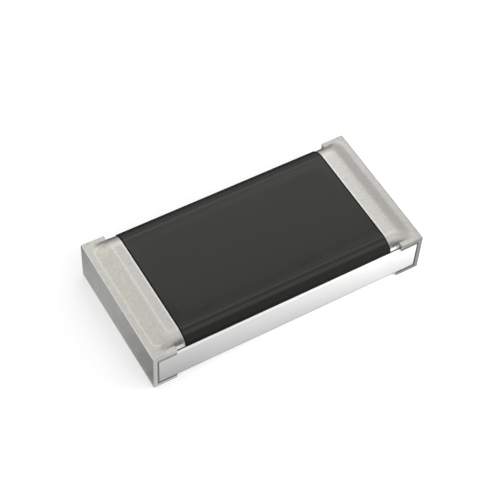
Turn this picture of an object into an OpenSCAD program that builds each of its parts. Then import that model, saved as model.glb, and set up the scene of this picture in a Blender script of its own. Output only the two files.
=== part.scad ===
// Thick-film surface-mount chip resistor, metric size 3216, in millimetres.
// X runs along the length, Y across the width, Z up from the solder faces.
// The origin is the centre of the underside.

/* [Chip] */
// Length over both terminations
chip_length = 3.2; // [2.8:0.05:3.8]
// Width of the chip
chip_width = 1.6; // [1.3:0.05:2.6]

/* [Ceramic substrate] */
// Thickness of the alumina plate
substrate_thickness = 0.39; // [0.3:0.01:0.6]
// Bevel that the snap line leaves along the upper long edges
snap_bevel = 0.022; // [0.006:0.002:0.04]

/* [Terminations] */
// Reach of each termination along the underside
bottom_leg = 0.27; // [0.2:0.01:0.5]
// Reach of each termination's flat border along the top
top_leg = 0.265; // [0.22:0.005:0.35]
// Thickness of the matte tin plating
tin_thickness = 0.03; // [0.012:0.002:0.036]
// Thickness of the nickel barrier under the tin
nickel_thickness = 0.014; // [0.006:0.002:0.02]
// Thickness of the edge electrode that wraps the end of the ceramic
edge_electrode_thickness = 0.018; // [0.016:0.002:0.026]
// Radius of the plating's outer corners
corner_radius = 0.012; // [0.004:0.002:0.02]

/* [Printed electrodes] */
// Thickness of the printed silver electrodes
electrode_thickness = 0.012; // [0.006:0.001:0.014]
// Inset of a printed electrode's sides from the sides of the raised pad that is printed on it
electrode_side_inset = 0.013; // [0.003:0.002:0.06]
// Reach of the top electrode's tongue under the coat
tongue_reach = 0.3; // [0.25:0.01:0.5]
// Overlap of the edge electrode past the printed bottom electrode
electrode_cover = 0.03; // [0.01:0.005:0.08]
// Flat border between the end of the chip and the foot of the raised pad
pad_border = 0.075; // [0.065:0.005:0.12]
// Length of the raised pad's fall, from its crest to its foot
pad_ramp = 0.18; // [0.12:0.005:0.24]
// Length over which the crest rolls over before the fall runs straight
roll_length = 0.07; // [0.02:0.01:0.12]
// Corner radius of the pad's foot, seen from above
pad_corner = 0.085; // [0.03:0.005:0.11]
// Step down from the coat's flat top to the plated pad
pad_step = 0.004; // [0:0.001:0.01]
// Distance by which the pad's sides stand in from the coat's sides
pad_tuck = 0.023; // [0.005:0.002:0.05]

/* [Resistive film] */
// Thickness of the film
film_thickness = 0.016; // [0.008:0.002:0.02]
// Overlap of the film on each top electrode
film_overlap = 0.16; // [0.1:0.01:0.22]
// Inset of the film's sides from the sides of the electrodes
film_side_inset = 0.08; // [0.02:0.01:0.2]
// Width of the laser trim cut
kerf_width = 0.04; // [0.02:0.005:0.06]
// Distance of the trim cut from the middle of the film
kerf_offset = 0.25; // [0:0.05:0.4]
// Depth of the trim cut across the film
kerf_depth = 0.5; // [0.2:0.05:0.7]
// Run of the trim cut along the film
kerf_run = 0.4; // [0.15:0.05:0.6]

/* [Coats] */
// Thickness of the glass undercoat on the film
glass_thickness = 0.018; // [0.008:0.002:0.024]
// Strip of film that the glass leaves open along its edge
glass_setback = 0.05; // [0.02:0.01:0.08]
// Length of termination that shows on top, from the end of the chip to the coat
termination_show = 0.38; // [0.36:0.01:0.5]
// Height of the coat's flat top above the ceramic
coat_height = 0.118; // [0.11:0.002:0.16]
// Flat strip of ceramic between the coat's foot and the snap bevel
coat_margin = 0.003; // [0.001:0.001:0.04]
// Radius of the coat's crown, where the flat top turns down
crown_radius = 0.25; // [0.12:0.01:0.28]
// Radius of the coat's edge, where the crown turns into the side
edge_radius = 0.045; // [0.02:0.005:0.05]
// Angle through which the crown turns before the edge takes over
crown_angle = 45; // [30:1:48]
// Bevel round the ends of the coat, where it meets the plating
coat_bevel = 0.01; // [0.004:0.002:0.02]

/* [Hidden] */
LEFT = -1;
RIGHT = 1;

// Straight pieces in each rounded stretch
arc_steps = 8;
// Straight pieces in the roll of the pad's crest
roll_steps = 4;
// Smallest radius that an inset surface may shrink to
least_radius = 0.002;
// Amount by which cutting shapes run past what they cut
past = 0.1;
// Amount by which the raised pad runs on below the faces that it rises from
sunk = 0.002;

// The plating, from its outer face down to the faces that it is plated on
plating = tin_thickness + nickel_thickness;
wrap = plating + edge_electrode_thickness;

// Heights
ceramic_bottom = wrap;
ceramic_top = ceramic_bottom + substrate_thickness;
border_top = ceramic_top + wrap;
coat_top = ceramic_top + coat_height;

// Half lengths along X and half widths along Y
half_length = chip_length / 2;
half_width = chip_width / 2;
ceramic_end = half_length - wrap;
coat_end = half_length - termination_show;
pad_foot = half_length - pad_border;
pad_crest = pad_foot - pad_ramp;
pad_slope = (coat_top - pad_step - border_top) / (pad_ramp - roll_length / 2);
tongue_end = coat_end - tongue_reach;
film_end = tongue_end + electrode_thickness + film_overlap;
glass_end = film_end - glass_setback;
coat_side = half_width - snap_bevel - coat_margin;
pad_side = coat_side - pad_tuck;
electrode_side = pad_side - plating - electrode_side_inset;
film_side = electrode_side - film_side_inset;
glass_side = film_side - glass_setback;

// Points on an arc in the plane of an outline, from one angle to another
function arc(centre, radius, from, to) =
  [for (i = [0:arc_steps]) let (a = from + (to - from) * i / arc_steps) centre + radius * [cos(a), sin(a)]];

function mirrored(points) = [for (i = [len(points) - 1:-1:0]) [-points[i][0], points[i][1]]];

function reversed(points) = [for (i = [len(points) - 1:-1:0]) points[i]];

// Right half of the loaf-shaped section across the width, at a depth under the outer face:
// up the side, round the edge and over the crown to the flat top
function loaf_half(depth, base) =
  let (
    crown = max(crown_radius - depth, 2 * least_radius),
    edge = max(edge_radius - depth, least_radius),
    side = coat_side - depth,
    top = coat_top - depth,
    crown_centre = [side - edge - (crown - edge) * sin(crown_angle), top - crown],
    edge_centre = crown_centre + (crown - edge) * [sin(crown_angle), cos(crown_angle)]
  )
  concat(
    [[side, base]],
    arc(edge_centre, edge, 0, 90 - crown_angle),
    arc(crown_centre, crown, 90 - crown_angle, 90)
  );

function loaf(depth, base = ceramic_top) =
  concat(loaf_half(depth, base), mirrored(loaf_half(depth, base)));

// The loaf section a step lower, with its sides cut off upright where the pad stands in from the coat
function pad_loaf(depth, base) = [
  for (p = loaf(pad_step + depth, base)) [sign(p[0]) * min(abs(p[0]), pad_side - depth), p[1]]
];

// Fall of the pad's top at a run past its crest, on a curve that meets the straight slope
function pad_fall(run) = pad_slope * run * run / (2 * roll_length);

// Outline from above of the pad's foot at the left end
function pad_foot_outline(depth) =
  let (x = pad_corner - pad_foot - sunk / pad_slope, y = pad_side - depth - pad_corner)
  concat(arc([x, -y], pad_corner, 270, 180), arc([x, y], pad_corner, 180, 90));

// Section along the length of the left wrap, filled in between its legs
function wrap_section(depth) =
  let (
    radius = max(corner_radius - depth, least_radius),
    end = -half_length + depth,
    top = border_top - depth
  )
  concat(
    arc([end + radius, depth + radius], radius, 270, 180),
    arc([end + radius, top - radius], radius, 180, 90),
    [
      [-half_length + top_leg, top],
      [-half_length + top_leg, ceramic_top - snap_bevel],
      [-half_length + bottom_leg, ceramic_bottom],
      [-half_length + bottom_leg, depth]
    ]
  );

// Line that the printed layers follow along the ceramic and up over the electrodes' tongues
function print_line(height, reach) =
  let (
    low = ceramic_top + height,
    high = low + electrode_thickness,
    right = [[tongue_end, low], [tongue_end + electrode_thickness, high], [reach, high]]
  )
  concat(mirrored(right), right);

// Extrudes an outline of Y and Z from one X to another
module along_x(outline, from, to)
  translate([from, 0, 0]) rotate([90, 0, 90]) linear_extrude(to - from) polygon(outline);

// Extrudes an outline of X and Z over a width centred on the middle plane
module along_y(outline, width)
  rotate([90, 0, 0]) linear_extrude(width, center = true) polygon(outline);

// Places a left-hand piece at the left or right end
module at_end(side)
  mirror([side == RIGHT ? 1 : 0, 0, 0]) children();

// Everything that lies deeper than a given depth under the outer face of the left termination
module envelope(depth) {
  along_y(wrap_section(depth), chip_width);
  raised_pad(depth);
}

// Left pad: level from the coat to its crest, then rolled over and down to its round-cornered foot.
// It runs on into the ceramic and the border, where each piece that uses it is cut or joined.
module raised_pad(depth)
  hull() {
    for (i = [0:roll_steps])
      let (run = roll_length * i / roll_steps)
        along_x(pad_loaf(depth + pad_fall(run), ceramic_top - sunk), -pad_crest - run, -coat_end);
    translate([0, 0, ceramic_top - sunk])
      linear_extrude(wrap - depth) polygon(pad_foot_outline(depth));
  }

module ceramic_plate()
  along_x(
    [
      [-half_width, ceramic_bottom],
      [half_width, ceramic_bottom],
      [half_width, ceramic_top - snap_bevel],
      [half_width - snap_bevel, ceramic_top],
      [-half_width + snap_bevel, ceramic_top],
      [-half_width, ceramic_top - snap_bevel]
    ],
    -ceramic_end, ceramic_end
  );

// One printed layer of the film's stack, between two heights above the ceramic
module printed_layer(low, high, reach, side)
  along_y(concat(print_line(low, reach), reversed(print_line(high, reach))), 2 * side);

// L-shaped path of the laser, from the front edge of the film inwards and then along it
module trim_cut()
  translate([0, 0, ceramic_top - past])
    linear_extrude(coat_height + past) {
      translate([kerf_offset, -film_side - past])
        square([kerf_width, kerf_depth + past]);
      translate([kerf_offset + kerf_width - kerf_run, -film_side + kerf_depth - kerf_width])
        square([kerf_run, kerf_width]);
    }

module film_solid()
  difference() {
    printed_layer(0, film_thickness, film_end, film_side);
    trim_cut();
  }

module glass_solid()
  difference() {
    printed_layer(film_thickness, film_thickness + glass_thickness, glass_end, glass_side);
    trim_cut();
  }

// Printed pad on the left end of the ceramic: a thin tongue under the film and coat,
// and the raised pad that shows through the plating
module top_electrode_solid() {
  along_y(
    [
      [-ceramic_end, ceramic_top],
      [-ceramic_end, ceramic_top + electrode_thickness],
      [-tongue_end - electrode_thickness, ceramic_top + electrode_thickness],
      [-tongue_end, ceramic_top]
    ],
    2 * electrode_side
  );
  difference() {
    raised_pad(plating);
    ceramic_plate();
  }
}

module bottom_electrode_solid()
  translate([-ceramic_end, -electrode_side, ceramic_bottom - electrode_thickness])
    cube([bottom_leg - wrap - electrode_cover, 2 * electrode_side, electrode_thickness]);

// Coat before the printed layers under it are taken out
module coat_block()
  hull() {
    along_x(loaf(coat_bevel), -coat_end, coat_end);
    along_x(loaf(0), -coat_end + coat_bevel, coat_end - coat_bevel);
  }

module ceramic_substrate()
  color("ghostwhite") ceramic_plate();

module resistive_film()
  color("dimgray") film_solid();

module glass_undercoat()
  color("darkseagreen") glass_solid();

module overcoat()
  color("#3e3e3c")
    difference() {
      coat_block();
      film_solid();
      glass_solid();
      for (side = [LEFT, RIGHT])
        at_end(side) top_electrode_solid();
    }

module top_electrode(side)
  color("silver") at_end(side) top_electrode_solid();

module bottom_electrode(side)
  color("silver") at_end(side) bottom_electrode_solid();

module edge_electrode(side)
  color("gray")
    at_end(side)
      difference() {
        along_y(wrap_section(plating), chip_width);
        ceramic_plate();
        top_electrode_solid();
        bottom_electrode_solid();
      }

module nickel_barrier(side)
  color("darkgray")
    at_end(side)
      difference() {
        envelope(tin_thickness);
        envelope(plating);
        ceramic_plate();
      }

module tin_plating(side)
  color("lightgray")
    at_end(side)
      difference() {
        envelope(0);
        envelope(tin_thickness);
        ceramic_plate();
      }

ceramic_substrate();
resistive_film();
glass_undercoat();
overcoat();
top_electrode(LEFT);  // top_electrode_left
top_electrode(RIGHT);  // top_electrode_right
bottom_electrode(LEFT);  // bottom_electrode_left
bottom_electrode(RIGHT);  // bottom_electrode_right
edge_electrode(LEFT);  // edge_electrode_left
edge_electrode(RIGHT);  // edge_electrode_right
nickel_barrier(LEFT);  // nickel_barrier_left
nickel_barrier(RIGHT);  // nickel_barrier_right
tin_plating(LEFT);  // tin_plating_left
tin_plating(RIGHT);  // tin_plating_right
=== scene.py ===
# %% [markdown]
# # A thick-film chip resistor
# This lesson dresses the imported solids of a flat chip resistor: a white ceramic slab, a black
# printed coat on its top, and a plated metal cap on each end. The solids already have the right
# sizes and places, so the work here is edges, finishes, light and the camera. First the frame is
# loaded, and its box is kept for sizes that later steps read from it.

# %% The imported frame
import math

import bmesh
import bpy
from mathutils import Matrix, Vector


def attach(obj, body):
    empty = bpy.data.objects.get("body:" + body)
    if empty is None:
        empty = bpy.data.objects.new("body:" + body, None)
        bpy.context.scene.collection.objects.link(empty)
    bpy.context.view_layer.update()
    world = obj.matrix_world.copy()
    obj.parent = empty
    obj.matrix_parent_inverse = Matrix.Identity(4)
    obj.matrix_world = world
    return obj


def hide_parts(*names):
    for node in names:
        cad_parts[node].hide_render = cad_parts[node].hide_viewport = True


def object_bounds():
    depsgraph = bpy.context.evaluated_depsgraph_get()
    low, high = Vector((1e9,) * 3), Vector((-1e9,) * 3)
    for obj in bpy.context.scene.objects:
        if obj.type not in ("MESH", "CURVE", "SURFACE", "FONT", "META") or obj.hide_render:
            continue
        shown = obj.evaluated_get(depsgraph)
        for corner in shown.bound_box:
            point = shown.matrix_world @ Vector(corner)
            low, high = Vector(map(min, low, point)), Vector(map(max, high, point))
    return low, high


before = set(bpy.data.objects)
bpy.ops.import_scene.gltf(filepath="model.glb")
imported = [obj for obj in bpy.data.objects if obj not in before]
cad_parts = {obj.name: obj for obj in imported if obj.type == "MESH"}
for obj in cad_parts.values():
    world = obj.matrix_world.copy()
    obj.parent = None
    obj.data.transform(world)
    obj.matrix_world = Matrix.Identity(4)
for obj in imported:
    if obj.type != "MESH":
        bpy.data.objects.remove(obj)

MM = 0.001
cad_low, cad_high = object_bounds()
cad_size = (cad_high - cad_low) / MM
print("CAD box in mm:", [round(s, 3) for s in cad_size])

# %% [markdown]
# ## The camera
# The photograph looks down on the chip from its front left, with a long lens. A camera can be aimed
# with a Track To constraint, but this one also leans a little to one side, so its three axes are
# written out from an azimuth, an elevation and a roll. The chip is only 3.2 mm long, so the near
# clipping distance has to shrink with it, or the camera would see nothing.

# %% The camera
CAMERA_PLACE = Vector((-5.17888, -7.82738, 12.98020)) * MM
CAMERA_AZIMUTH = math.radians(-33.320)
CAMERA_ELEVATION = math.radians(53.367)
CAMERA_ROLL = math.radians(3.971)
LENS_LENGTH = 107.86
SENSOR_WIDTH = 36.0
NEAREST_SEEN = 1.0 * MM
FURTHEST_SEEN = 1.0

back = Vector((
    math.sin(CAMERA_AZIMUTH) * math.cos(CAMERA_ELEVATION),
    -math.cos(CAMERA_AZIMUTH) * math.cos(CAMERA_ELEVATION),
    math.sin(CAMERA_ELEVATION),
))
level = Vector((math.cos(CAMERA_AZIMUTH), math.sin(CAMERA_AZIMUTH), 0.0))
upright = back.cross(level)
right = math.cos(CAMERA_ROLL) * level + math.sin(CAMERA_ROLL) * upright
up = math.cos(CAMERA_ROLL) * upright - math.sin(CAMERA_ROLL) * level
turned = Matrix((right, up, back)).transposed().to_4x4()

camera_data = bpy.data.cameras.new("camera")
camera_data.lens = LENS_LENGTH
camera_data.sensor_width = SENSOR_WIDTH
camera_data.clip_start = NEAREST_SEEN
camera_data.clip_end = FURTHEST_SEEN
camera = bpy.data.objects.new("camera", camera_data)
camera.matrix_world = Matrix.Translation(CAMERA_PLACE) @ turned
bpy.context.scene.collection.objects.link(camera)
bpy.context.scene.camera = camera
bpy.context.scene.view_settings.view_transform = "Standard"
print("camera distance in mm:", round(CAMERA_PLACE.length / MM, 2))

# %% [markdown]
# ## Small helpers for meshes and nodes
# Every mesh in this lesson is made in millimetres and scaled to metres at the end. Blender's merge
# and bevel tools have fixed tolerances near a thousandth of a unit, and a corner of a few
# thousandths of a millimetre would vanish in them if it were made in metres. The node helper makes
# one node and fills its sockets by name, which keeps each finish short enough to read.


# %% Helpers
def add_object(name, bm, material):
    """Turns a finished bmesh in millimetres into an object at the origin."""
    bmesh.ops.scale(bm, vec=(MM, MM, MM), verts=bm.verts)
    mesh = bpy.data.meshes.new(name)
    bm.to_mesh(mesh)
    bm.free()
    mesh.materials.append(material)
    piece = bpy.data.objects.new(name, mesh)
    bpy.context.scene.collection.objects.link(piece)
    return piece


def add_node(tree, kind, values=None, **settings):
    """Adds one node, with its settings and the default values of its inputs."""
    node = tree.nodes.new(kind)
    for setting, value in settings.items():
        setattr(node, setting, value)
    for socket, value in (values or {}).items():
        node.inputs[socket].default_value = value
    return node


def new_finish(name, values):
    """A material with one Principled shader, and the sockets that stay the same all over it."""
    finish = bpy.data.materials.new(name)
    finish.use_nodes = True
    tree = finish.node_tree
    shader = tree.nodes["Principled BSDF"]
    for socket, value in values.items():
        shader.inputs[socket].default_value = value
    return finish, tree, shader


print("helpers ready, one millimetre is", MM, "units")

# %% [markdown]
# ## The floor
# The chip lies on white paper. A plain white floor under soft light comes out light grey, so a
# little emission lifts it to white. The emission is only there for camera, glossy and transmission
# rays: the metal mirrors the same white paper that the camera sees, while the light that falls on
# the chip stays as it is and the soft shadow on the paper remains. The paper lies a hair under the
# chip, because two faces in one plane would flicker.

# %% The floor
FLOOR_HALF = 300.0
FLOOR_DROP = 0.002
FLOOR_LIFT = 0.40

paper, tree, shader = new_finish("white paper", {
    "Base Color": (0.8, 0.8, 0.8, 1.0),
    "Roughness": 0.9,
    "Specular IOR Level": 0.0,
    "Emission Color": (1.0, 1.0, 1.0, 1.0),
})
ray = add_node(tree, "ShaderNodeLightPath")
camera_or_glossy = add_node(tree, "ShaderNodeMath", operation="MAXIMUM")
any_seen = add_node(tree, "ShaderNodeMath", operation="MAXIMUM")
lift = add_node(tree, "ShaderNodeMath", {1: FLOOR_LIFT}, operation="MULTIPLY")
tree.links.new(ray.outputs["Is Camera Ray"], camera_or_glossy.inputs[0])
tree.links.new(ray.outputs["Is Glossy Ray"], camera_or_glossy.inputs[1])
tree.links.new(camera_or_glossy.outputs[0], any_seen.inputs[0])
tree.links.new(ray.outputs["Is Transmission Ray"], any_seen.inputs[1])
tree.links.new(any_seen.outputs[0], lift.inputs[0])
tree.links.new(lift.outputs[0], shader.inputs["Emission Strength"])

bm = bmesh.new()
bmesh.ops.create_grid(bm, x_segments=1, y_segments=1, size=FLOOR_HALF)
bmesh.ops.translate(bm, vec=(0.0, 0.0, -FLOOR_DROP), verts=bm.verts)
floor = add_object("floor", bm, paper)
print("floor:", 2 * FLOOR_HALF, "mm square")

# %% [markdown]
# ## The tent
# Small shiny parts are often lit inside a white tent, so that every face mirrors something even. A
# tent could be modelled as a dome, but in Blender a plain white world does the same with no mesh.

# %% The tent
TENT_LIGHT = 0.75

world = bpy.data.worlds.new("white tent")
world.use_nodes = True
tent = world.node_tree.nodes["Background"]
tent.inputs["Color"].default_value = (1.0, 1.0, 1.0, 1.0)
tent.inputs["Strength"].default_value = TENT_LIGHT
bpy.context.scene.world = world
print("tent light:", TENT_LIGHT)

# %% [markdown]
# ## A card
# A tent alone makes metal look flat, so a product photographer hangs cards in it, and each face of
# the metal mirrors one of them. A card here is one flat face of an even glow. The camera never sees
# it, and Blender can hide it from matt surfaces too: then it gives the metal its form and leaves
# the light on the white slab alone. One card is the other way round, a flag that only matt surfaces
# see. It is solid on its upper side only, through Backfacing and Alpha, so that the paper below it
# isn't shaded.


# %% A card
def add_card(name, corner, across, upward, grey, matt=False):
    """A flat card from a corner and two sides, that only shiny or only matt surfaces see."""
    finish, tree, shader = new_finish(name, {
        "Base Color": (0.0, 0.0, 0.0, 1.0),
        "Specular IOR Level": 0.0,
        "Emission Color": (1.0, 1.0, 1.0, 1.0),
        "Emission Strength": grey,
    })
    if matt:
        face = add_node(tree, "ShaderNodeNewGeometry")
        front_only = add_node(tree, "ShaderNodeMath", {0: 1.0}, operation="SUBTRACT")
        tree.links.new(face.outputs["Backfacing"], front_only.inputs[1])
        tree.links.new(front_only.outputs[0], shader.inputs["Alpha"])
    bm = bmesh.new()
    corner, across, upward = Vector(corner), Vector(across), Vector(upward)
    ring = [corner, corner + across, corner + across + upward, corner + upward]
    bm.faces.new([bm.verts.new(point) for point in ring])
    card = add_object(name, bm, finish)
    card.visible_camera = False
    card.visible_diffuse = matt
    card.visible_glossy = not matt
    card.visible_shadow = False
    print(name, "area in mm2:", round(across.cross(upward).length, 1), "grey", round(grey, 3))


# %% [markdown]
# ## The strips overhead
# The black coat is glossy and its long shoulders are round, so they mirror the tent as lines along
# the chip. Long strips of different greys, from the back horizon over the top to a dark curtain on
# the camera's side, give the lines that the photograph shows. A picture of a studio wrapped round
# the scene could do it too, but strips are plain numbers that can be moved one at a time.

# %% The strips overhead
STRIP_RADIUS = 20.0
STRIPS = (  # name, first and last angle in degrees from the back horizon, grey
    ("back_skirt", 0, 13, 0.25),
    ("back_low", 13, 34, 0.5),
    ("back_panel", 40, 54, 1.12),
    ("roof_bar", 62, 64.5, 0.25),
    ("front_panel", 65.5, 86, 0.85),
    ("front_bar", 87, 98, 0.35),
    ("front_curtain", 117, 180, 0.2),
)


def strip_edge(angle):
    """The left end of a strip's edge, at an angle over the chip."""
    turn = math.radians(angle)
    return Vector((-2 * STRIP_RADIUS, STRIP_RADIUS * math.cos(turn), STRIP_RADIUS * math.sin(turn)))


for name, low, high, grey in STRIPS:
    first, last = strip_edge(low), strip_edge(high)
    add_card(name, first, (4 * STRIP_RADIUS, 0, 0), last - first, grey)

# %% [markdown]
# ## The cards beside the chip and the papers on the floor
# The upright ends and edges of the caps mirror what stands or lies right beside them. A grey card
# stands on the right and a low dark one behind the chip. Small papers on the floor set the tone of
# the cut edges in front, and a row of them, lightest past its middle, shades the left end. The flag
# lies in front of the chip's left end and takes some light from the white slab there.

# %% The cards and the papers
ON_PAPER = -0.001
add_card("right_card", (12, -6, 0), (0, 26, 0), (0, 0, 10), 0.52)
add_card("back_card", (-5, 1.15, 0), (12, 0, 0), (0, 0, 0.53), 0.08)
add_card("right_paper", (1.25, -1.5, ON_PAPER), (1.3, 0, 0), (0, 0.71, 0), 0.55)
add_card("front_flag", (-3.2, -2.6, ON_PAPER), (2.1, 0, 0), (0, 1.77, 0), 0.2, matt=True)
add_card("front_paper", (-1.6, -1.5, ON_PAPER), (0.4, 0, 0), (0, 0.71, 0), 0.9)

LEFT_PAPERS = 10
PAPER_LENGTH, PAPER_WIDTH = 0.78, 0.25
PAPER_STEP = 0.085
for step in range(LEFT_PAPERS):
    place = (-2.4, -1.1 + PAPER_WIDTH * step, 0)
    grey = min(0.75, 0.33 + PAPER_STEP * step, 1.33 - PAPER_STEP * step)
    add_card(f"left_paper_{step}", place, (PAPER_LENGTH, 0, 0), (0, PAPER_WIDTH, 0), grey)

# %% [markdown]
# ## The lamps
# The white side of the slab grows lighter from left to right, so a small lamp stands close to the
# right of it. A wide soft lamp above the front lights the rest. Both are area lamps, because a point
# lamp would draw hard shadows, and both are hidden from glossy surfaces, which have the cards to
# mirror. Energy is worked out from the radiance, so that a lamp keeps its brightness at any size.


# %% The lamps
def add_lamp(name, place, aim, side, radiance):
    """A square lamp of even radiance that lights matt surfaces and is not mirrored."""
    data = bpy.data.lights.new(name, "AREA")
    data.size = side * MM
    data.energy = radiance * math.pi * (side * MM) ** 2
    lamp = bpy.data.objects.new(name, data)
    lamp.location = Vector(place) * MM
    lamp.rotation_euler = (Vector(aim) - Vector(place)).to_track_quat("-Z", "Y").to_euler()
    lamp.visible_camera = False
    lamp.visible_glossy = False
    bpy.context.scene.collection.objects.link(lamp)
    print(name, "energy in W:", data.energy)


add_lamp("side_lamp", place=(3.4, -3.0, 1.4), aim=(0.8, -0.8, 0.2), side=1.6, radiance=13.2)
add_lamp("top_lamp", place=(6.0, -22.0, 32.0), aim=(0.0, 0.0, 0.3), side=16.0, radiance=1.9)

# %% [markdown]
# ## A grain that every finish shares
# Plating, paste and fired ceramic are all made of small grains, so they share one node group. It
# reads Object coordinates, multiplied to count in millimetres, and gives two masks: a fine grain
# and slow blotches. Each finish sets its own number of grains per millimetre. A group like this is
# easier to keep alike over eleven finishes than eleven copies of the same nodes.

# %% The grain group
grain_group = bpy.data.node_groups.new("fine grain", "ShaderNodeTree")
for socket, start in (("Grains per mm", 30.0), ("Blotches per mm", 4.0)):
    grain_group.interface.new_socket(
        name=socket, in_out="INPUT", socket_type="NodeSocketFloat"
    ).default_value = start
for socket in ("Grain", "Blotch"):
    grain_group.interface.new_socket(name=socket, in_out="OUTPUT", socket_type="NodeSocketFloat")

inside = add_node(grain_group, "NodeGroupInput")
outside = add_node(grain_group, "NodeGroupOutput")
place = add_node(grain_group, "ShaderNodeTexCoord")
in_mm = add_node(grain_group, "ShaderNodeMapping", {"Scale": (1 / MM, 1 / MM, 1 / MM)})
grain_group.links.new(place.outputs["Object"], in_mm.inputs["Vector"])
for mask, count, detail in (("Grain", "Grains per mm", 3.0), ("Blotch", "Blotches per mm", 2.0)):
    noise = add_node(grain_group, "ShaderNodeTexNoise", {"Detail": detail, "Roughness": 0.6})
    grain_group.links.new(in_mm.outputs["Vector"], noise.inputs["Vector"])
    grain_group.links.new(inside.outputs[count], noise.inputs["Scale"])
    grain_group.links.new(noise.outputs["Fac"], outside.inputs[mask])
print("group:", grain_group.name, [s.name for s in grain_group.interface.items_tree])

# %% [markdown]
# ## Finishes from the grain
# Most finishes here differ only in numbers: two colours that the grain mixes, a roughness that
# wanders between two values, and a shallow bump. One function makes them all. The constant values,
# such as Metallic, are set on the shader itself, because an exported material keeps them only there.


# %% The finish maker
A, B, RESULT = 6, 7, 2  # the colour sockets of a Mix node, which share their names with others


def spread(tree, mask, low, high, steep=0.25):
    """Maps the middle of a noise mask onto a range of values."""
    ramp = add_node(tree, "ShaderNodeMapRange", {
        "From Min": 0.5 - steep,
        "From Max": 0.5 + steep,
        "To Min": low,
        "To Max": high,
    })
    tree.links.new(mask, ramp.inputs["Value"])
    return ramp.outputs["Result"]


def grained_finish(name, dark, light, roughness, grains, blotches, bump, **constants):
    """A finish whose colour, roughness and surface follow the shared grain."""
    sockets = {key.replace("_", " "): value for key, value in constants.items()}
    finish, tree, shader = new_finish(name, sockets)
    grain = add_node(tree, "ShaderNodeGroup", node_tree=grain_group)
    grain.inputs["Grains per mm"].default_value = grains
    grain.inputs["Blotches per mm"].default_value = blotches
    colour = add_node(tree, "ShaderNodeMix", {A: (*dark, 1.0), B: (*light, 1.0)}, data_type="RGBA")
    tree.links.new(spread(tree, grain.outputs["Grain"], 0.0, 1.0), colour.inputs["Factor"])
    tree.links.new(colour.outputs[RESULT], shader.inputs["Base Color"])
    tree.links.new(spread(tree, grain.outputs["Blotch"], *roughness), shader.inputs["Roughness"])
    relief = add_node(tree, "ShaderNodeBump", {"Strength": 1.0, "Distance": bump * MM})
    tree.links.new(grain.outputs["Grain"], relief.inputs["Height"])
    tree.links.new(relief.outputs["Normal"], shader.inputs["Normal"])
    print("finish:", name)
    return finish


# %% [markdown]
# ## Painted light and tarnish on a finish
# Two helpers change a finish over a piece. The first reads attributes of the mesh: where a piece is
# marked for painted shade, for a painted highlight or as warm with tarnish, its colour is multiplied
# by a tone. These marks could be painted on an image, but an attribute needs no image and follows
# the shape. The second greys a finish towards its foot, by the height in Object coordinates.


# %% Painted light, tarnish and the grey foot
def paint_light_and_tarnish(finish, tones):
    """Multiplies a finish's colour by a tone for each attribute that marks painted light or tarnish.
    """
    tree = finish.node_tree
    shader = tree.nodes["Principled BSDF"]
    colour = shader.inputs["Base Color"].links[0].from_socket
    for attribute, tone_colour in tones.items():
        mask = add_node(tree, "ShaderNodeAttribute", attribute_name=attribute)
        tone = add_node(
            tree, "ShaderNodeMix", {B: (*tone_colour, 1.0)},
            data_type="RGBA", blend_type="MULTIPLY", clamp_result=False)
        tree.links.new(mask.outputs["Fac"], tone.inputs["Factor"])
        tree.links.new(colour, tone.inputs[A])
        colour = tone.outputs[RESULT]
    tree.links.new(colour, shader.inputs["Base Color"])
    print(finish.name, "worn by:", list(tones))


def greyed_below(finish, low, high, grey):
    """Greys a finish towards the lower of two heights in millimetres."""
    tree = finish.node_tree
    shader = tree.nodes["Principled BSDF"]
    place = add_node(tree, "ShaderNodeTexCoord")
    height = add_node(tree, "ShaderNodeSeparateXYZ")
    depth = add_node(tree, "ShaderNodeMapRange", {"From Min": high * MM, "From Max": low * MM})
    tone = add_node(
        tree, "ShaderNodeMix", {B: (grey, grey, grey, 1.0)},
        data_type="RGBA", blend_type="MULTIPLY")
    tree.links.new(place.outputs["Object"], height.inputs["Vector"])
    tree.links.new(height.outputs["Z"], depth.inputs["Value"])
    tree.links.new(depth.outputs["Result"], tone.inputs["Factor"])
    tree.links.new(shader.inputs["Base Color"].links[0].from_socket, tone.inputs[A])
    tree.links.new(tone.outputs[RESULT], shader.inputs["Base Color"])
    print(finish.name, "greyed below", high, "mm")


# %% [markdown]
# ## The tin
# The caps are plated with matte tin, a pale metal of fine crystals. Shade is painted into its colour
# on upright faces and borders, highlights are painted along its edges and lines, and it is a little
# warm where it has tarnished. A metal in the Principled shader takes its colour from Base Color, so
# the painted light and the tarnish work on that colour.

# %% The tin
tin_finish = grained_finish(
    "matte tin", (0.68, 0.67, 0.63), (0.82, 0.81, 0.77), roughness=(0.29, 0.38),
    grains=30.0, blotches=5.0, bump=0.0011, Metallic=1.0)
# Tones: painted shade darkens the tin, the warm one is the tarnish, painted highlights lighten it.
paint_light_and_tarnish(tin_finish, {
    "painted_shade": (0.5, 0.5, 0.5),
    "warm": (0.88, 0.88, 0.62),
    "painted_highlight": (1.3, 1.3, 1.3),
})

# %% [markdown]
# ## The black resin
# The coat is a filled resin, black and smooth, with a soft gloss. Where it stops against the metal,
# and low on its steep sides, its surface is open and matt. Two finishes of nearly one colour, with a
# different roughness and specular level, make that difference.

# %% The black resin
coat_finish = grained_finish(
    "black coat", (0.0135, 0.0135, 0.0115), (0.0175, 0.0175, 0.0150), roughness=(0.13, 0.17),
    grains=45.0, blotches=3.0, bump=0.0001, Specular_IOR_Level=0.58)
rim_finish = grained_finish(
    "cut rim of the coat", (0.012, 0.012, 0.011), (0.016, 0.016, 0.015), roughness=(0.85, 0.95),
    grains=45.0, blotches=3.0, bump=0.0002, Specular_IOR_Level=0.05)
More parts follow.
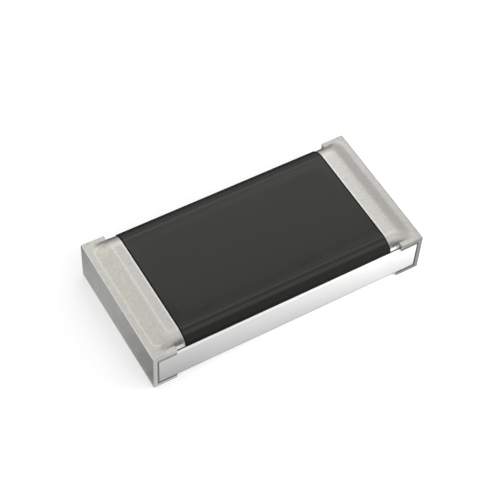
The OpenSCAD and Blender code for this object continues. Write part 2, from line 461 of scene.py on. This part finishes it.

# %% [markdown]
# ## The alumina
# Fired alumina is white. The sides of the slab were snapped after firing; they take a darker copy of
# the white as painted shade, darker still towards their foot, where a painted shadow line ends them.
# Beside the bevel runs a dark strip, a painted shadow line in the crease there. Three finishes from
# the same maker keep the ceramic of one kind.

# %% The alumina
# The sides take a darker copy of the white: painted shade.
shaded_side_finish = grained_finish(
    "alumina sides, painted shade", (0.68, 0.68, 0.675), (0.70, 0.70, 0.695), roughness=(0.45, 0.55),
    grains=60.0, blotches=5.0, bump=0.0001)
# Painted shade, darker towards the foot of the sides, then a painted shadow line at the foot.
greyed_below(shaded_side_finish, low=0.06, high=0.43, grey=0.74)
greyed_below(shaded_side_finish, low=0.068, high=0.078, grey=0.3)
# The white alumina; on the caps' pad walls it is a painted reflection.
white_and_reflection_finish = grained_finish(
    "white alumina, also a painted reflection", (0.87, 0.87, 0.865), (0.89, 0.89, 0.885), roughness=(0.45, 0.55),
    grains=60.0, blotches=5.0, bump=0.0001)
# A dark strip beside the bevel on the top: a painted shadow line in the crease there.
shadow_line_finish = grained_finish(
    "painted shadow line", (0.06, 0.06, 0.058), (0.09, 0.09, 0.087), roughness=(0.6, 0.7),
    grains=60.0, blotches=5.0, bump=0.0002)

# %% [markdown]
# ## The layers inside
# Under the tin lie nickel and a sputtered metal that wraps the end of the slab, and their cut edges
# show as two lines in the side of each cap. Silver print, resistive film and glass are hidden, and
# get a finish all the same, because someone may take the part apart.

# %% The finishes of the layers inside
nickel_finish = grained_finish(
    "nickel plating", (0.52, 0.51, 0.49), (0.62, 0.61, 0.59), roughness=(0.32, 0.42),
    grains=35.0, blotches=5.0, bump=0.0008, Metallic=1.0)
edge_finish = grained_finish(
    "sputtered edge metal", (0.30, 0.30, 0.29), (0.40, 0.40, 0.39), roughness=(0.40, 0.52),
    grains=35.0, blotches=5.0, bump=0.0008, Metallic=1.0)
greyed_below(edge_finish, low=0.43, high=0.45, grey=0.5)
silver_finish = grained_finish(
    "fired silver print", (0.62, 0.61, 0.58), (0.76, 0.75, 0.72), roughness=(0.42, 0.58),
    grains=40.0, blotches=6.0, bump=0.0010, Metallic=0.8)
film_finish = grained_finish(
    "resistive film", (0.020, 0.019, 0.018), (0.060, 0.055, 0.050), roughness=(0.45, 0.60),
    grains=40.0, blotches=6.0, bump=0.0008)
glass_finish = grained_finish(
    "glass undercoat", (0.10, 0.20, 0.17), (0.16, 0.29, 0.24), roughness=(0.08, 0.16),
    grains=12.0, blotches=3.0, bump=0.0004)

# %% [markdown]
# ## Softened copies of the solids
# The solids have knife-sharp edges, and real edges catch a line of light because they are slightly
# round. A Bevel modifier on a solid would do, but the solids arrive as loose triangles, so a copy is
# merged, its flat faces are joined, and chosen edges are rounded with bmesh. Last, each large flat
# face gets a narrow inner ring, which keeps its smooth shading flat up to the rounded edge. A float
# layer marks the points where the tin's finish paints a highlight into its colour.


# %% The copy and its edges
MERGE_DISTANCE = 1e-5
FLAT_ANGLE = math.radians(0.2)
EDGE_STEPS = 2
RING_WIDTH = 0.003


def solid_copy(node):
    """A merged copy of a solid in millimetres, with its triangles joined to flat faces."""
    bm = bmesh.new()
    bm.from_mesh(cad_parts[node].data)
    # The layer marks where a highlight is painted into the tin's colour.
    bm.verts.layers.float.new("painted_highlight")
    bmesh.ops.scale(bm, vec=(1 / MM, 1 / MM, 1 / MM), verts=bm.verts)
    bmesh.ops.remove_doubles(bm, verts=bm.verts, dist=MERGE_DISTANCE)
    bmesh.ops.dissolve_limit(bm, angle_limit=FLAT_ANGLE, verts=bm.verts, edges=bm.edges)
    print(node, "copied with", len(bm.faces), "faces")
    return bm


def round_edges(bm, chosen, radius, highlight_amount=1.0):
    """Rounds the edges for which chosen(edge, angle) is true, and marks them for a painted highlight.
    """
    painted_highlight = bm.verts.layers.float["painted_highlight"]
    edges = [
        edge for edge in bm.edges
        if chosen(edge, math.degrees(edge.calc_face_angle_signed(0.0)))
    ]
    made = bmesh.ops.bevel(
        bm, geom=edges, offset=radius, offset_type="OFFSET", affect="EDGES",
        segments=EDGE_STEPS, profile=0.5, material=-1, clamp_overlap=True)
    for vert in made["verts"]:
        vert[painted_highlight] = highlight_amount
    return len(edges)


def ring_flats(bm, least_area, highest=2.0):
    """Gives each large flat face a narrow inner ring that keeps its shading flat."""
    painted_highlight = bm.verts.layers.float["painted_highlight"]
    known = set(bm.verts)
    large = [
        face for face in bm.faces
        if face.calc_area() > least_area and face.normal.z < highest
    ]
    bmesh.ops.inset_individual(
        bm, faces=large, thickness=RING_WIDTH, depth=0.0, use_even_offset=True)
    for vert in bm.verts:
        if vert not in known:
            vert[painted_highlight] = 0.0


# %% [markdown]
# ## A cut and a finished piece
# A finish often changes along a straight line, and a new edge has to run there first. A knife could
# draw it by hand in the editor; in bmesh a plane cuts the faces that it is given. The last helper
# turns the mesh into a piece: smooth shading with sharp folds, a body to ride on, and the solid that
# it replaces. The solids bring their own normals along, which no longer fit and are removed.


# %% The cut and the piece
CUT_DISTANCE = 1e-4
X_AXIS, Y_AXIS, Z_AXIS = Vector((1, 0, 0)), Vector((0, 1, 0)), Vector((0, 0, 1))


def cut(bm, faces, axis, place):
    """Cuts some faces of a mesh with one plane across an axis."""
    geom = set(faces)
    for face in list(geom):
        geom.update(face.edges)
        geom.update(face.verts)
    bmesh.ops.bisect_plane(
        bm, geom=list(geom), dist=CUT_DISTANCE, plane_co=axis * place, plane_no=axis)
    bm.normal_update()


def finish_piece(name, bm, materials, node, sharp=33.0):
    """Shades the mesh smooth and puts it in the solid's place."""
    piece = add_object(name, bm, materials[0])
    for material in materials[1:]:
        piece.data.materials.append(material)
    piece.data.attributes.remove(piece.data.attributes["custom_normal"])
    piece.data.shade_smooth()
    piece.data.set_sharp_from_angle(angle=math.radians(sharp))
    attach(piece, "root")
    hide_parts(node)
    print(name, "faces:", len(piece.data.polygons))
    return piece


# %% [markdown]
# ## The ceramic slab
# The slab is snapped from a scored plate of alumina, which leaves a narrow bevel along its top edges
# and a fine, slightly rough break on its sides. Its edges are rounded a little. A cut along each
# side of the top gives a dark strip of its own beside the bevel, a painted shadow line in the crease
# there, and the faces then take one of three finishes by the way they look: looking up or down the
# white alumina, and sideways a darker copy of it, which is painted shade.

# %% The ceramic slab
SLAB_EDGE = 0.004
SLAB_FLAT = 0.004
SHADOW_LINE_EDGE = 0.763
SHADED_SIDE, FIRED, SHADOW_LINE = range(3)


# Faces looking up or down take the white, sideways faces the darker copy as painted shade, and the
# top strip beside the bevel the painted shadow line.
def slab_finish(face):
    """Which finish a face of the slab takes."""
    if face.normal.z > 0.98 and abs(face.calc_center_median().y) > SHADOW_LINE_EDGE:
        return SHADOW_LINE
    return FIRED if face.normal.z > 0.2 or face.normal.z < -0.95 else SHADED_SIDE


bm = solid_copy("ceramic_substrate")
count = round_edges(bm, lambda edge, angle: angle > 20, SLAB_EDGE)
ring_flats(bm, SLAB_FLAT)
# The cuts give the painted shadow line its strip beside the bevel.
for side in (-1, 1):
    cut(bm, bm.faces, Y_AXIS, side * SHADOW_LINE_EDGE)
for face in bm.faces:
    face.material_index = slab_finish(face)
fired_count = sum(face.material_index == FIRED for face in bm.faces)
print("rounded slab edges:", count, "fired faces:", fired_count)
finish_piece(
    "ceramic_slab", bm, [shaded_side_finish, white_and_reflection_finish, shadow_line_finish], "ceramic_substrate")

# %% [markdown]
# ## The black coat
# The coat is a printed resin that slumps at its edges before it cures, so its top runs over into
# round shoulders. The solid has those shoulders, with a flat top between them. On the real coat the
# top starts to fall a little earlier, so its flat face is inset and the outer border lowered by a few
# thousandths of a millimetre. The narrow slope at each end, where the coat stops against the metal,
# and the steep foot of the long sides are matt, and get the rim's finish.

# %% The black coat
CROWN_WIDTH = 0.09
CROWN_RING = 0.01
CROWN_FALL = 0.003
CAP_LENGTH = 0.38
RIM_START = cad_high.x / MM - CAP_LENGTH - 0.017
STEEP_SIDE = 0.75

bm = solid_copy("overcoat")
top_height = max(vert.co.z for vert in bm.verts)
top = [
    face for face in bm.faces
    if face.normal.z > 0.999 and face.calc_center_median().z > top_height - CUT_DISTANCE
]
border = [vert for face in top for vert in face.verts]
for width in (CROWN_WIDTH, CROWN_RING):
    bmesh.ops.inset_individual(bm, faces=top, thickness=width, depth=0.0, use_even_offset=True)
bmesh.ops.translate(bm, vec=(0.0, 0.0, -CROWN_FALL), verts=border)
for end in (-1, 1):
    cut(bm, bm.faces, X_AXIS, end * RIM_START)
for face in bm.faces:
    at_end = abs(face.calc_center_median().x) > RIM_START
    face.material_index = int(at_end or abs(face.normal.y) > STEEP_SIDE)
print("top faces:", len(top), "rim faces:", sum(face.material_index for face in bm.faces))
finish_piece("black_coat", bm, [coat_finish, rim_finish], "overcoat")

# %% [markdown]
# ## The grid on the tin caps
# Each cap is a plated skin that wraps the end of the slab and rises over the printed pad on top. The
# solid's pad is made of flat facets, and real plating has none. A subdivision surface would round
# the pad, but it would also pull in the outer corners. So the top skin is cut along planes into a
# fine grid of rows across and lines along the chip, as a base that can be relaxed.

# %% The grid on the tin caps
BORDER_TOP = 0.514  # height of the flat border round the pad
PAD_SIDE = 0.752  # half width of the pad
SHOULDER = 0.65  # where its round shoulders start, across the chip
CREST = 1.345  # where its top starts to fall, along the chip
FOOT = 1.525  # where the fall ends
CORNER = FOOT - 0.08  # where the round corners of the foot start
ROWS = [CREST + 0.0125 * step for step in range(-9, 19)]
LINES = [side * (PAD_SIDE - 0.0175 * step) for side in (-1, 1) for step in range(14)]
ON_CUT = 2e-4


def top_skin(bm):
    """The faces of a cap's upper side, with the pad, its ramp and the flat border."""
    return [
        face for face in bm.faces
        if face.normal.z > 0.05 and face.calc_center_median().z > BORDER_TOP - 0.03
    ]


def cut_grid(bm, sign):
    """Cuts the top skin of one cap along all rows and lines."""
    bm.normal_update()
    for row in ROWS:
        cut(bm, top_skin(bm), X_AXIS, sign * row)
    for line in LINES:
        cut(bm, top_skin(bm), Y_AXIS, line)


def on_grid(edge):
    """Whether an edge lies along one of the cuts."""
    first, last = (vert.co for vert in edge.verts)
    from_row = min(abs(abs(first.x) - row) for row in ROWS)
    from_line = min(abs(first.y - line) for line in LINES)
    along_row = abs(first.x - last.x) < ON_CUT and from_row < ON_CUT
    along_line = abs(first.y - last.y) < ON_CUT and from_line < ON_CUT
    return along_row or along_line


print("grid of", len(ROWS), "rows and", len(LINES), "lines")

# %% [markdown]
# ## The soft crest and foot
# With the grid in place, the old edges of the facets are dissolved, and the heights are relaxed: a
# point moves towards the mean of its neighbours, so the crest and the foot of the ramp turn into
# smooth bends. Only heights move, so the grid stays straight from above. The fold where the round
# shoulder meets the flat border is sharp on the real cap, so its edges are kept.

# %% The soft crest and foot
FOLD_ANGLE = math.radians(-6)
PAD_ROUNDS = 3
FOOT_ROUNDS = 10


def in_fold(edge):
    """Whether an edge lies in the fold between the pad's round shoulder and the flat border."""
    beside = all(abs(vert.co.y) > SHOULDER and abs(vert.co.x) < CORNER for vert in edge.verts)
    return beside and edge.calc_face_angle_signed(0.0) < FOLD_ANGLE


def join_facets(bm):
    """Dissolves the edges of the pad that aren't part of the grid or the fold."""
    pad = {
        face for face in top_skin(bm)
        if face.normal.z > 0.3 and abs(face.calc_center_median().y) < PAD_SIDE
        and ROWS[0] < abs(face.calc_center_median().x) < ROWS[-1]
    }
    facets = [
        edge for edge in bm.edges
        if len(edge.link_faces) == 2 and all(face in pad for face in edge.link_faces)
        and not on_grid(edge) and not in_fold(edge)
    ]
    bmesh.ops.dissolve_edges(bm, edges=facets, use_verts=True)
    bm.normal_update()
    return len(facets)


def is_loose(vert):
    """Whether a point of the skin may move up and down."""
    reach, across = abs(vert.co.x), abs(vert.co.y)
    on_top = vert.normal.z > 0.3 and vert.co.z > BORDER_TOP - 1e-4
    limit = SHOULDER if reach < CORNER else PAD_SIDE - 0.01
    return on_top and ROWS[0] < reach < ROWS[-1] - 1e-3 and across < limit


def relax_pad(bm):
    """Relaxes the heights of the pad, and more often those near its foot."""
    loose = [vert for vert in bm.verts if is_loose(vert)]
    near_foot = [vert for vert in loose if abs(vert.co.x) > CORNER - 0.02]
    for points, rounds in ((loose, PAD_ROUNDS), (near_foot, FOOT_ROUNDS)):
        for _ in range(rounds):
            bmesh.ops.smooth_vert(bm, verts=points, factor=0.5, use_axis_z=True)
    return len(loose)


print("relaxing rounds:", PAD_ROUNDS, "on the pad and", FOOT_ROUNDS, "at its foot")

# %% [markdown]
# ## The painted highlights
# Highlights are painted into the tin's colour where it stands out: the edge beside the coat, the
# outer edges, the round shoulders of the pad, the top of one pad and a thin line round its ramp. The
# line follows a rectangle with round corners, and a point's distance from such a rectangle is a short
# sum. Each cap has its own amounts of painted highlight.

# %% The rubbed lines
COAT_EDGE = 1.2355  # the edge beside the coat lies before this, along the chip
END_EDGE = 1.589  # and the edge at the end past this
SIDE_EDGE = 0.78  # the edges of the sides lie past this, across the chip
SIDE_HIGHLIGHT = 0.3
RAMP_MIDDLE = 1.43
RAMP_HALF = Vector((0.092, 0.68))  # half length and half width of the line round the ramp
RAMP_TURN = 0.07  # radius of its corners
RAMP_LINE = 0.014  # distance over which it fades
SHOULDER_LINE, SHOULDER_HALF = 0.655, 0.085  # middle and half width of the painted highlight on the shoulder


def fade(value, length):
    """Grows from 0 to 1 over a length."""
    return min(1.0, max(0.0, value / length))


def from_ramp_line(reach, across):
    """How far a point lies from the line round the ramp."""
    out = Vector((abs(reach - RAMP_MIDDLE), across)) - RAMP_HALF + Vector((RAMP_TURN, RAMP_TURN))
    outside = Vector((max(out.x, 0), max(out.y, 0))).length
    return abs(outside + min(max(out.x, out.y), 0) - RAMP_TURN)


def highlight_of(reach, across, painted, ramp_highlight, crest_highlight):
    """How much painted highlight one point of the top skin gets."""
    if across > SIDE_EDGE:
        return SIDE_HIGHLIGHT * painted
    if reach < COAT_EDGE:
        return 1.0
    if reach > END_EDGE:
        return painted
    line = ramp_highlight * max(0.0, 1 - from_ramp_line(reach, across) / RAMP_LINE)
    shoulder = max(0.0, 1 - abs(across - SHOULDER_LINE) / SHOULDER_HALF)
    shoulder *= fade(CREST + 0.08 - reach, 0.1)
    return max(line, shoulder, crest_highlight * fade(CREST - reach, 0.02))


def paint_highlights(bm, painted, ramp_highlight, crest_highlight):
    """Marks how much painted highlight each point of the top skin gets."""
    painted_highlight = bm.verts.layers.float["painted_highlight"]
    for vert in bm.verts:
        if vert.normal.z >= 0.3 and vert.co.z >= BORDER_TOP - 0.05:
            vert[painted_highlight] = highlight_of(abs(vert.co.x), abs(vert.co.y), painted, ramp_highlight, crest_highlight)


print("line round the ramp in mm:", [round(2 * half, 3) for half in RAMP_HALF])

# %% [markdown]
# ## The painted shade
# Shade is painted into the tin's colour where it stands upright, on the borders of the top and along
# the outer rim of one cap. The other cap is a little tarnished, which darkens its top and gives its
# ramp a warm tone. This belongs to whole faces and not to points, so it is kept as two attributes of
# the faces, made when the mesh is finished.

# %% The dull faces
LOOKS_UP = 0.5  # a face looks up when its normal rises more than this
BORDER_START = 1.545  # the border at the end lies past this, along the chip
OUTER_RIM = 1.585  # and the outer rim past this
OUTER_SIDE = 0.79  # the sides lie past this, across the chip
BACK_BORDER_SHADE, END_BORDER_SHADE, SIDE_SHADE = 0.27, 0.15, 0.6


def shade_of(face, tarnish, rim):
    """How much painted shade a face of a cap gets."""
    reach, across = abs(face.center.x) / MM, abs(face.center.y) / MM
    shades = [0.0]
    if reach > OUTER_RIM:
        shades.append(min(rim, 5 * abs(face.normal.x)))
    if across > OUTER_SIDE:
        shades.append(SIDE_SHADE * (abs(face.normal.y) - 0.75) / 0.25)
    if face.normal.z <= LOOKS_UP:
        shades.append((abs(face.normal.x) - 0.25) / 0.75)
    elif face.center.y / MM > PAD_SIDE:
        shades.append(BACK_BORDER_SHADE)
    else:
        shades.append(END_BORDER_SHADE if reach > BORDER_START else tarnish)
    return max(shades)


def warm_of(face, tarnish):
    """How warm the tarnish makes a face of a cap."""
    on_ramp = face.normal.z > LOOKS_UP and abs(face.center.x) / MM < BORDER_START
    return tarnish * min(1.0, 4 * abs(face.normal.x)) if on_ramp else 0.0


def paint_cap_shade(piece, tarnish, rim):
    """Writes both attributes of a finished cap."""
    warm = piece.data.attributes.new("warm", "FLOAT", "FACE")
    for face in piece.data.polygons:
        warm.data[face.index].value = warm_of(face, tarnish)
    # Each face's painted shade, which darkens the tin's colour.
    painted_shade = piece.data.attributes.new("painted_shade", "FLOAT", "FACE")
    for face in piece.data.polygons:
        painted_shade.data[face.index].value = shade_of(face, tarnish, rim)
    print(piece.name, "dull faces:", sum(item.value > 0 for item in painted_shade.data))


# %% [markdown]
# ## The tin caps
# Now the two caps are made from these steps. The corners along their sides get a very small bevel,
# then come the grid, the relaxing and the painted highlights. The pad's low side walls take the
# white of the slab on their lower part, a painted reflection of the bright ceramic beside them, so a
# level cut divides them first. The left cap has the stronger painted highlights and the tarnish, the
# right one the darker painted shade on its rim.

# %% The tin caps
CAP_CORNER = 0.003
CAP_FLAT = 0.02
CAP_SIDE = cad_high.y / MM
WALL_SIDE = 0.76  # the pad's walls stand inside this half width
WALL_FOOT = 0.44  # and above this height
WALL_TOP = 0.486  # their part painted white, as a reflection, ends here
CAPS = {
    # Per cap: amounts of painted highlight on the edges, the ramp line and the crest, the tarnish,
    # and the painted shade on the rim.
    "left": {"sign": -1, "painted": 1.0, "ramp_highlight": 0.95, "crest_highlight": 0.0, "tarnish": 0.17, "rim": 0.0},
    "right": {"sign": 1, "painted": 0.1, "ramp_highlight": 0.1, "crest_highlight": 0.15, "tarnish": 0.0, "rim": 1.0},
}


def outer_corner(edge, angle):
    """The sharp corners of the skin that can be seen from outside."""
    across = abs(edge.verts[0].co.y + edge.verts[1].co.y) / 2
    return angle > 60 and abs(across - CAP_SIDE) < 1e-3 and edge.calc_length() > 0.01


def pad_walls(bm):
    """The upright walls along the foot of the pad's long sides."""
    walls = []
    for face in bm.faces:
        middle = face.calc_center_median()
        if abs(face.normal.y) > 0.95 and abs(middle.y) < WALL_SIDE and middle.z > WALL_FOOT:
            walls.append(face)
    return walls


for side, cap_tones in CAPS.items():
    bm = solid_copy(f"tin_plating_{side}")
    corners = round_edges(bm, outer_corner, CAP_CORNER, cap_tones["painted"])
    ring_flats(bm, CAP_FLAT, highest=0.5)
    cut_grid(bm, cap_tones["sign"])
    joined, moved = join_facets(bm), relax_pad(bm)
    paint_highlights(bm, cap_tones["painted"], cap_tones["ramp_highlight"], cap_tones["crest_highlight"])
    bm.normal_update()
    # The lower part of the pad's walls takes the slab's white as a painted reflection.
    cut(bm, pad_walls(bm), Z_AXIS, WALL_TOP)
    white = [face for face in pad_walls(bm) if face.calc_center_median().z < WALL_TOP]
    for face in white:
        face.material_index = 1
    print(side, "corners", corners, "facets", joined, "relaxed", moved, "white walls", len(white))
    cap = finish_piece(
        f"tin_cap_{side}", bm, [tin_finish, white_and_reflection_finish], f"tin_plating_{side}", sharp=25.0)
    paint_cap_shade(cap, cap_tones["tarnish"], cap_tones["rim"])

# %% [markdown]
# ## The layers under the plating and the coat
# Nickel, the sputtered edge metal, the silver prints, the resistive film and its glass are thin
# layers. Their solids have the right shape, and only their cut edges or nothing at all shows, so
# they stay as they are and get a finish.


# %% The inner layers
def dress_layer(node, finish):
    """Gives a solid that stays as it is its finish."""
    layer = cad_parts[node]
    layer.data.materials.clear()
    layer.data.materials.append(finish)
    print(node, "->", finish.name)


for side in ("left", "right"):
    dress_layer(f"nickel_barrier_{side}", nickel_finish)
    dress_layer(f"edge_electrode_{side}", edge_finish)
    dress_layer(f"top_electrode_{side}", silver_finish)
    dress_layer(f"bottom_electrode_{side}", silver_finish)
dress_layer("resistive_film", film_finish)
dress_layer("glass_undercoat", glass_finish)
